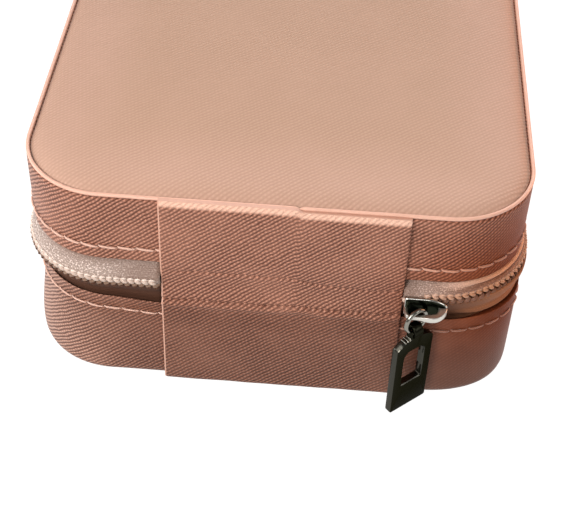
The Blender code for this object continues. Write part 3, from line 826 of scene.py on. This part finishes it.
def make_teeth():
    """Nylon coil: one bent, slanting loop per tooth, with the sewing thread that holds it on the tape."""
    # along the wall, out from the chain's face, and up from the coil's root
    loop = ((-0.50, -0.40, -0.30), (-0.32, 0.02, -0.50), (0.02, 0.14, -0.72), (0.36, -0.06, -0.98),
            (0.44, -0.50, -1.30))
    knot = ((-0.56, -0.10, -0.50), (-0.42, 0.14, -0.12), (-0.05, 0.24, 0.08), (0.36, 0.14, -0.06),
            (0.58, -0.10, -0.38))
    count = round((ZIP_TO - ZIP_FROM) / COIL_PITCH)
    for name, up in (("upper", 1), ("lower", -1)):
        paths, knots = [], []
        for i in range(count):
            s = ZIP_FROM + COIL_PITCH * (i + (0.25 if up > 0 else 0.75))
            if s > ZIP_TO - 0.3:
                continue
            out = 1.42 - chain_in(s) if up > 0 else 0.80 + 0.1 * closed_side(s)
            root = ZIP_MIDDLE + chain_up(s) * (1.0 if up > 0 else 0.8) + up * 1.35
            for lines, bends in ((paths, loop), (knots, knot)):
                lines.append([wall_point(s + along, out + stand, root + up * rise)
                              for along, stand, rise in bends])
        coil = many_tubes(name + "_coil", paths, lambda t: 0.45, 8)
        sewing = many_tubes(name + "_coil_thread", knots, lambda t: 0.20 * (1.1 - 0.4 * abs(2 * t - 1)), 6)
        dress(sewing, None, COIL_THREAD if up > 0 else SHADED_LOW_TAPE, "tape")
        if up > 0:
            dress(coil, None, TEETH, "teeth", "upper_zip_teeth")
            blend_to_lid(coil)
            blend_to_lid(sewing)
        else:
            dress(coil, "base", SHADED_LOW_TEETH, "teeth", "lower_zip_teeth")
            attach(sewing, "base")


# -------- slider, ring and tab

def bevelled_prism(name, outline, place, low, high, bevel, steps=3):
    """A closed outline given depth, with rounded edges; place maps (u, v, depth) to a point."""
    inward = []
    for i, here in enumerate(outline):
        before = (here - outline[i - 1]).normalized()
        after = (outline[(i + 1) % len(outline)] - here).normalized()
        normal = Vector((-before.y - after.y, before.x + after.x))
        inward.append(normal / max(0.5, normal.length_squared / 2))
    angles = [pi / 2 * k / steps for k in range(steps + 1)]
    levels = [(1 - sin(a), low + bevel * (1 - cos(a))) for a in angles]
    levels += [(1 - cos(a), high - bevel * (1 - sin(a))) for a in angles]
    rows = [[place(p.x + n.x * bevel * inset, p.y + n.y * bevel * inset, depth) for p, n in zip(outline, inward)]
            for inset, depth in levels]
    return grid_mesh(name, rows, [depth for _, depth in levels], lengths(outline))


def join(name, *parts):
    """One object from several."""
    points, faces, uvs = [], [], []
    for part in parts:
        first = len(points)
        points += [vertex.co / MM for vertex in part.data.vertices]
        faces += [[first + index for index in face.vertices] for face in part.data.polygons]
        uvs += [tuple(item.uv) for item in part.data.uv_layers["grain"].data]
        bpy.data.objects.remove(part, do_unlink=True)
    return new_object(name, points, faces, uvs)


def on_wall(u, v, depth):
    return Vector((u, -HALF - depth, v))


def make_slider():
    """A formed outer plate with flanges round the chain, a back plate and a curved bridge."""
    left, right = SLIDER_LOW.x, SLIDER_HIGH.x
    middle = (SLIDER_LOW.z + SLIDER_HIGH.z) / 2
    half = (SLIDER_HIGH.z - SLIDER_LOW.z) / 2 - 0.2

    def outline(start, end):
        return divided(rounded([
            (start, middle - half, 0.6), (end - 3.0, middle - half, 1.6), (end, middle - 0.9, 1.1),
            (end, middle + 0.9, 1.1), (end - 3.0, middle + half, 1.6), (start, middle + half, 0.6),
        ]), 0.5)

    plate = bevelled_prism("plate", outline(left, right), on_wall, 1.55, 2.50, 0.40)
    back = bevelled_prism("back", outline(left + 2.8, right - 0.5), on_wall, -1.7, -1.0, 0.2)
    wedge = rounded([(left + u, middle + v, 0.1) for u, v in ((3.0, 0), (3.7, -0.38), (5.4, -0.38), (6.0, 0),
                                                              (5.4, 0.38), (3.7, 0.38))])
    post = bevelled_prism("post", wedge, on_wall, -1.4, 2.0, 0.05)
    flanges = []
    for way in (-1, 1):
        low, high = sorted((middle + way * (half - 0.35), middle + way * (half - 0.85)))
        flange = divided(block(left, low, right - 2.6, high, 0.1, steps=2), 0.8)
        flanges.append(bevelled_prism("flange", flange, on_wall, 0.9, 2.0, 0.12))
    body = join("slider_shell", plate, back, post, *flanges)
    dress(body, "slider", NICKEL, "nickel", "slider_body")
    # painted dark reflection on the faces that look straight out
    trim(body, NICKEL_DARK_REFLECTION, lambda face: -face.normal.y > 0.8)
    sharpen(body)

    path = curve_through([
        (0.45, 1.9), (0.45, 3.3), (0.65, 4.3), (1.3, 4.8), (2.6, 4.8), (4.2, 4.8), (5.6, 4.75), (6.6, 4.4),
        (7.3, 3.6), (7.6, 2.7), (7.6, 1.9),
    ], 5)
    bridge_height = 27.3
    rows = []
    for i, (here, along) in enumerate(zip(path, headings(path))):
        t = i / (len(path) - 1)
        wide = 0.36 + 0.31 * smoothstep(0.35, 0.6, t) + 0.28 * smoothstep(0.72, 1.0, t)
        tall = 0.46 + 0.18 * smoothstep(0.4, 0.6, t) + 0.25 * smoothstep(0.7, 1.0, t)
        rows.append([on_wall(left + here.x - along.y * p.x, bridge_height + p.y, here.y + along.x * p.x)
                     for p in block(-wide, -tall, wide, tall, 0.22)])
    bridge = grid_mesh("slider_bridge", rows, lengths(path, closed=False))
    dress(bridge, "slider", SATIN_NICKEL, "nickel")
    sharpen(bridge)


def make_pull():
    """The wire ring, and the tab with its window, grooved neck and round eye."""
    across = Vector((-TAB_AXIS.y, TAB_AXIS.x, 0))
    centre = (RING_LOW + RING_HIGH) / 2
    wire = 0.5
    radius = (RING_HIGH.z - RING_LOW.z) / 2 - wire
    rows = []
    for angle in turns(56):
        out = TAB_AXIS * cos(angle) + Vector((0, 0, 1)) * sin(angle)
        rows.append([centre + out * (radius + wire * cos(a)) + across * wire * sin(a) for a in turns(14)])
    dress(grid_mesh("ring_wire", rows, ring=True), "ring", RING_METAL, "nickel", "pull_ring")

    def place(u, v, depth):
        point = centre + TAB_AXIS * u + across * depth
        point.z = v
        return point

    half, thin, bevel = 4.75, 0.85, 0.28
    bottom, shoulder, neck = box("pull_tab")[0].z + 0.75, 20.7, 22.3
    silhouette = divided(mirrored([
        (half, bottom, 0.5), (half, shoulder, 0.5), (half - 1.5, neck - 0.5, 0.5), (1.5, neck, 0.4),
        (1.05, TAB_EYE, 0.2),
    ]), 0.35)
    low, high, side = 9.7, 19.0, 2.6
    window = divided(mirrored([(side, low, 0.25), (side, high - 1.1, 0.3), (side - 0.9, high, 0.3)]), 0.199)
    middle = Vector((0, (low + high) / 2))
    bearings = [(atan2(p.y - middle.y, p.x - middle.x), p) for p in window]
    rows = []
    for i, here in enumerate(silhouette):
        bearing = atan2(here.y - middle.y, here.x - middle.x)
        inner = min(bearings, key=lambda item: abs((item[0] - bearing + pi) % (2 * pi) - pi))[1]
        along = (silhouette[(i + 1) % len(silhouette)] - silhouette[i - 1]).normalized()
        out = (inner - middle).normalized()
        row = []
        for face, a in ((-1, 0), (-1, 0.5), (-1, 1), (1, 1), (1, 0.5), (1, 0)):
            inset, depth = bevel * (1 - sin(a * pi / 2)), face * (thin - bevel * (1 - cos(a * pi / 2)))
            row.append(place(here.x - along.y * inset, here.y + along.x * inset, depth))
        for inset, depth in ((0.2, thin), (0, thin - 0.2), (0, 0.2 - thin), (0.2, -thin)):
            row.append(place(inner.x + out.x * inset, inner.y + out.y * inset, depth))
        rows.append(row)
    plate = grid_mesh("tab_frame", rows, ring=True)
    section = block(-1.1, 0.85, 1.1, 1.6, 0.2, 0.25)
    rows = [[place(p.x, TAB_EYE + p.y * sin(angle), p.y * cos(angle)) for p in section] for angle in turns(32)]
    tab = join("tab_plate", plate, grid_mesh("tab_head", rows, ring=True))
    dress(tab, "tab", GUNMETAL, "gunmetal", "pull_tab")
    # painted reflection: the tab's edges and window sides below its neck are lighter
    trim(tab, GUNMETAL_LIT_EDGE, lambda face: abs(face.normal.dot(across)) < 0.8 and face.center.z < neck * MM)
    sharpen(tab, 40)
    ribs = [[place(-1.45 - 0.62 * k, neck + 0.16 - 0.17 * k + 0.10 * (1 - abs(j - 4) / 4), thin * (0.25 * j - 1))
             for j in range(9)] for k in range(3)]
    dress(many_tubes("tab_ribs", ribs, lambda t: 0.17, 8), "tab", RING_METAL, "gunmetal")


# -------- interior

def soft_box(name, low, high, radius, step, swell=0.0):
    """A block with rounded edges and slightly swelling faces."""
    ticks = []
    for axis in range(3):
        size = high[axis] - low[axis]
        inner = size - 2 * radius
        steps = max(1, round(inner / step))
        rim = [radius * (1 - sin(pi / 4 * k / 3) / cos(pi / 4 * k / 3)) for k in (3, 2, 1)]
        flat = [radius + inner * k / steps for k in range(steps + 1)]
        ticks.append([low[axis] + t for t in rim + flat + [size - t for t in reversed(rim)]])
    found, points, faces, uvs = {}, [], [], []

    def add(place):
        core = Vector([min(high[a] - radius, max(low[a] + radius, place[a])) for a in range(3)])
        bulge = swell
        for a in range(3):
            if abs(place[a] - low[a]) > 1e-6 and abs(place[a] - high[a]) > 1e-6:
                bulge *= 1 - (2 * (place[a] - low[a]) / (high[a] - low[a]) - 1) ** 4
        key = tuple(round(value * 1e4) for value in place)
        if key not in found:
            found[key] = len(points)
            points.append(core + (place - core).normalized() * (radius + bulge))
        return found[key]

    for axis in range(3):
        first, second = (axis + 1) % 3, (axis + 2) % 3
        spans = [list(zip(ticks[way], ticks[way][1:])) for way in (first, second)]
        for level, us, vs in product((low[axis], high[axis]), *spans):
            corners = []
            for i, j in ((0, 0), (1, 0), (1, 1), (0, 1)):
                place = Vector((0, 0, 0))
                place[axis], place[first], place[second] = level, us[i], vs[j]
                corners.append(place)
            if level == low[axis]:
                corners.reverse()
            faces.append([add(place) for place in corners])
            uvs += [(place[first], place[second]) for place in corners]
    return outward(new_object(name, points, faces, uvs))


def room_reach(x):
    """How far the base's room reaches in Y at x, inside its rounded corners."""
    inset = 4.95
    beyond = abs(x) - (HALF - CORNER)
    if beyond <= 0:
        return HALF - inset
    return HALF - CORNER + sqrt(max(0.0, (CORNER - inset) ** 2 - beyond ** 2))


def make_rolls():
    """Plump velvet rolls that hold rings between them."""
    for number in range(1, 6):
        low, high = box(f"ring_roll_{number}")
        rows, xs = [], [low.x + (high.x - low.x) * 0.5 * (1 - cos(pi * i / 60)) for i in range(61)]
        for x in xs:
            near = max(0.0, 1 - min(x - low.x, high.x - x) / 2.6)
            full = sqrt(max(0.0004, 1 - near ** 2))
            rear = max(low.y, -room_reach(x))
            middle, half = (rear + high.y) / 2, (high.y - rear) / 2 * (0.35 + 0.65 * full)
            top = low.z + (high.z - low.z) * (0.82 + 0.18 * full) + 0.12 * ripple(x, low.y, 13, 9.0)
            row = []
            for angle in turns(36):
                c, z = cos(angle), sin(angle)
                side = abs(c) ** 0.8 * (1 if c > 0 else -1)
                rise = 0.5 + 0.5 * (abs(z) ** 0.75 * (1 if z > 0 else -1))
                waist = 1 - 0.05 * (1 - rise) * (rise < 0.4)
                row.append(Vector((x, middle + half * side * waist, low.z + (top - low.z) * rise)))
            rows.append(row)
        made = grid_mesh(f"roll_{number}", rows, xs)
        dress(made, "base", VELVET, "velvet", f"ring_roll_{number}")


def make_dividers():
    for node, body in (("long_divider", "base"), ("cross_divider_1", "cross_divider_1"),
                       ("cross_divider_2", "cross_divider_2")):
        made = soft_box(node + "_pad", *box(node), 0.7, 2.0, 0.05)
        dress(made, body, VELVET, "velvet", node)


def pucker(x, y, low, high):
    """How far the gathered pocket stands off the ceiling."""
    phase = 2 * pi * x / 5.5 + 1.3 * ripple(x, y, 9, 10.0)
    side = smoothstep(0, 3, min(x - low.x, high.x - x))
    return (0.35 + 1.35 * smoothstep(low.y, high.y, y) * (0.5 + 0.5 * sin(phase))) * side


def make_pocket():
    """Velvet cut wider than the pocket and gathered by the elastic along its mouth."""
    low, high = box("pocket_panel")
    ys = [low.y + (high.y + 0.6 - low.y) * i / 40 for i in range(41)]
    xs = [low.x + (high.x - low.x) * i / 200 for i in range(201)]
    rows = []
    for x in xs:
        lower = [Vector((x, y, high.z - pucker(x, y, low, high) - 0.05)) for y in ys]
        rows.append(lower + [point + Vector((0, 0, 0.35)) for point in reversed(lower)])
    cloth = grid_mesh("pocket_cloth", rows, xs)
    dress(cloth, "lid", VELVET, "velvet", "pocket_panel")
    band_y = sum(corner.y for corner in box("pocket_elastic")) / 2
    rows = [[Vector((x, band_y + p.x, high.z - 0.7 * pucker(x, high.y, low, high) - 0.25 + p.y))
             for p in block(-1.3, -0.5, 1.3, 0.5, 0.4)] for x in xs]
    band = grid_mesh("pocket_band", rows, xs, lengths(rows[0]))
    dress(band, "lid", ELASTIC, "elastic", "pocket_elastic")


def lathe(name, centre, profile):
    """Turns (radius, height) points round a vertical axis."""
    return grid_mesh(name, [[Vector((centre.x + radius * cos(a), centre.y + radius * sin(a), height))
                             for a in turns(32)] for radius, height in profile])


def stitch_line(points, lift, pitch=2.6):
    """Short stitches along straight lines, standing off in the given direction."""
    paths = []
    for first, last in zip(points, points[1:]):
        count = max(1, int((last - first).length / pitch))
        way = (last - first).normalized()
        for i in range(count):
            middle = first + (last - first) * (i + 0.5) / count
            paths.append([middle + way * pitch * 0.4 * t + lift * (0.10 - 0.3 * t ** 4)
                          for t in (-1, -0.6, -0.2, 0.2, 0.6, 1)])
    return paths


def make_hooks():
    """Leather strap, three folding tabs and their snaps."""
    low, high = box("hook_strap")
    dress(soft_box("strap_leather", low, high, 0.4, 2.0), "lid", SIDE, "leather", "hook_strap")
    inset = 1.3
    left, right, front, rear = low.x + inset, high.x - inset, low.y + inset, high.y - inset
    seam = [Vector((x, y, low.z))
            for x, y in ((left, front), (right, front), (right, rear), (left, rear), (left, front))]
    sewn = many_tubes("strap_stitches", stitch_line(seam, Vector((0, 0, -1))), lambda t: 0.17, 6)
    dress(sewn, "lid", THREAD, "leather")
    bend = strip([(38.0, 40.4), (38.9, 40.5), (39.5, 41.1), (39.5, 42.1), (38.9, 42.8), (38.0, 42.9)], 0.8)
    for number in range(1, 4):
        body = f"hook_{number}"
        low, high = box(f"hook_tab_{number}")
        middle = (low.x + high.x) / 2
        outline = divided(block(low.x, low.y, high.x, high.y, 3.6, 0.3, 8), 0.799)
        tongue = bevelled_prism(f"tongue_{number}", outline, lambda *place: Vector(place), low.z, high.z, 0.3)
        lay_flat(tongue)
        dress(tongue, body, SIDE, "leather", f"hook_tab_{number}")
        xs = [low.x + 0.3 + (high.x - low.x - 0.6) * i / 12 for i in range(13)]
        fold = grid_mesh(f"fold_{number}", [[Vector((x, *p)) for p in bend] for x in xs], xs, lengths(bend))
        dress(fold, None, SIDE, "leather")
        blend(fold, "lid", body, (middle, 38.5, 42.4), (middle, 38.5, 40.6))
        low, high = box(f"snap_cap_{number}")
        radius = (high.x - low.x) / 2
        centre = (low + high) / 2
        dome = [(radius * 0.97 * sin(a), low.z + 0.5 - 0.5 * cos(a)) for a in (pi / 16 * k for k in range(1, 9))]
        cap = lathe(f"cap_{number}", centre, dome + [(radius, low.z + 0.6), (radius * 0.94, high.z)])
        dress(cap, body, NICKEL, "nickel", f"snap_cap_{number}")
        low, high = box(f"snap_stud_{number}")
        radius = (high.x - low.x) / 2
        waist = [(0.5, low.z), (0.9, low.z + 0.12), (1, low.z + 0.35), (0.8, low.z + 0.6), (1, high.z)]
        stud = lathe(f"stud_{number}", centre, [(radius * size, height) for size, height in waist])
        dress(stud, "lid", NICKEL, "nickel", f"snap_stud_{number}")


# -------- studio, in metres

def make_camera():
    """The reference viewing angle: azimuth, elevation and roll about a point on the hinge side."""
    azimuth, elevation, roll = radians(2.184), radians(43.373), radians(2.577)
    target = Vector((3.206, -50.0, 37.29)) * MM
    distance = 254.32 * MM
    forward = Vector((-sin(azimuth) * cos(elevation), cos(azimuth) * cos(elevation), -sin(elevation)))
    level = Vector((cos(azimuth), sin(azimuth), 0))
    upright = level.cross(forward)
    right = level * cos(roll) + upright * sin(roll)
    up = upright * cos(roll) - level * sin(roll)
    data = bpy.data.cameras.new("camera")
    data.sensor_width = 36.0
    data.lens = 82.149
    data.clip_start = 0.01
    camera = in_scene("camera", data)
    camera.matrix_world = Matrix.Translation(target - forward * distance) @ Matrix(
        (right, up, -forward)).transposed().to_4x4()
    bpy.context.scene.camera = camera


def area_light(name, place, aim, size, power, color=(1, 1, 1)):
    data = bpy.data.lights.new(name, "AREA")
    data.shape = "RECTANGLE"
    data.size, data.size_y = size
    data.energy = power
    data.color = color
    lamp = in_scene(name, data)
    lamp.location = place
    lamp.rotation_euler = (Vector(aim) - Vector(place)).to_track_quat("-Z", "Y").to_euler()


def make_studio():
    reach = 12.0
    floor = new_object("floor", [Vector((x, y, 0)) * reach / MM for x, y in ((-1, -1), (1, -1), (1, 1), (-1, 1))],
                       [(0, 1, 2, 3)])
    paper = Shader("floor", (0.15, 0.15, 0.15), 0.9)
    paper.set("Emission Color", (1, 1, 1, 1))
    paper.set("Emission Strength", 0.94)
    paper.set("Specular IOR Level", 0.0)
    floor.data.materials.append(paper.material)
    world = bpy.data.worlds.new("studio")
    world.use_nodes = True
    background = world.node_tree.nodes["Background"]
    background.inputs[0].default_value = (1.0, 0.95, 0.90, 1)
    background.inputs[1].default_value = 0.25
    bpy.context.scene.world = world
    area_light("back", (0.18, 0.62, 0.62), (0.02, 0, 0.03), (0.9, 0.5), 6.2)
    area_light("key", (-0.50, -0.30, 0.60), (0, 0, 0.03), (0.5, 0.5), 2.9, (1.0, 0.98, 0.96))
    area_light("near", (-0.10, -0.25, 0.20), (0, -0.05, 0.03), (0.09, 0.09), 0.66, (1.0, 0.95, 0.91))
    area_light("catch", (0.02, -0.36, 0.37), (0.03, -0.05, 0.03), (0.28, 0.10), 0.35)
    area_light("rim", (0.32, -0.13, 0.25), (0.03, -0.05, 0.02), (0.12, 0.12), 0.16)
    area_light("left", (-0.32, 0.03, 0.10), (-0.05, -0.03, 0.03), (0.20, 0.20), 0.60, (0.96, 0.98, 1.0))
    area_light("warm", (0.24, 0.08, 0.06), (0.05, -0.02, 0.03), (0.14, 0.14), 0.45, (1.0, 0.42, 0.20))
    bpy.context.scene.view_settings.view_transform = "Standard"
    bpy.context.scene.view_settings.look = "None"


# -------- everything

def dress_cad_nodes():
    """Procedural materials for the CAD nodes that stay."""
    by_slot = {
        "leather": UNDER, "leather_top": TOP, "piping": PIPING, "tape": TAPE, "teeth": TEETH, "board": BOARD,
        "foam": FOAM, "velvet": VELVET, "elastic": ELASTIC, "nickel": NICKEL, "gunmetal": GUNMETAL,
    }
    slots = {part["node"]: part["material_slot"] for part in frame["record"]["subparts"]}
    for node, made in frame["nodes"].items():
        for material_slot in made.material_slots:
            material_slot.material = by_slot[slots[node]]
        if not made.material_slots:
            made.data.materials.append(by_slot[slots[node]])


for make in (make_camera, make_studio, dress_cad_nodes, make_walls, make_top, make_piping, make_stitches,
             make_panel, make_inner_hinge, make_tapes, make_teeth, make_slider, make_pull, make_rolls,
             make_dividers, make_pocket, make_hooks):
    make()
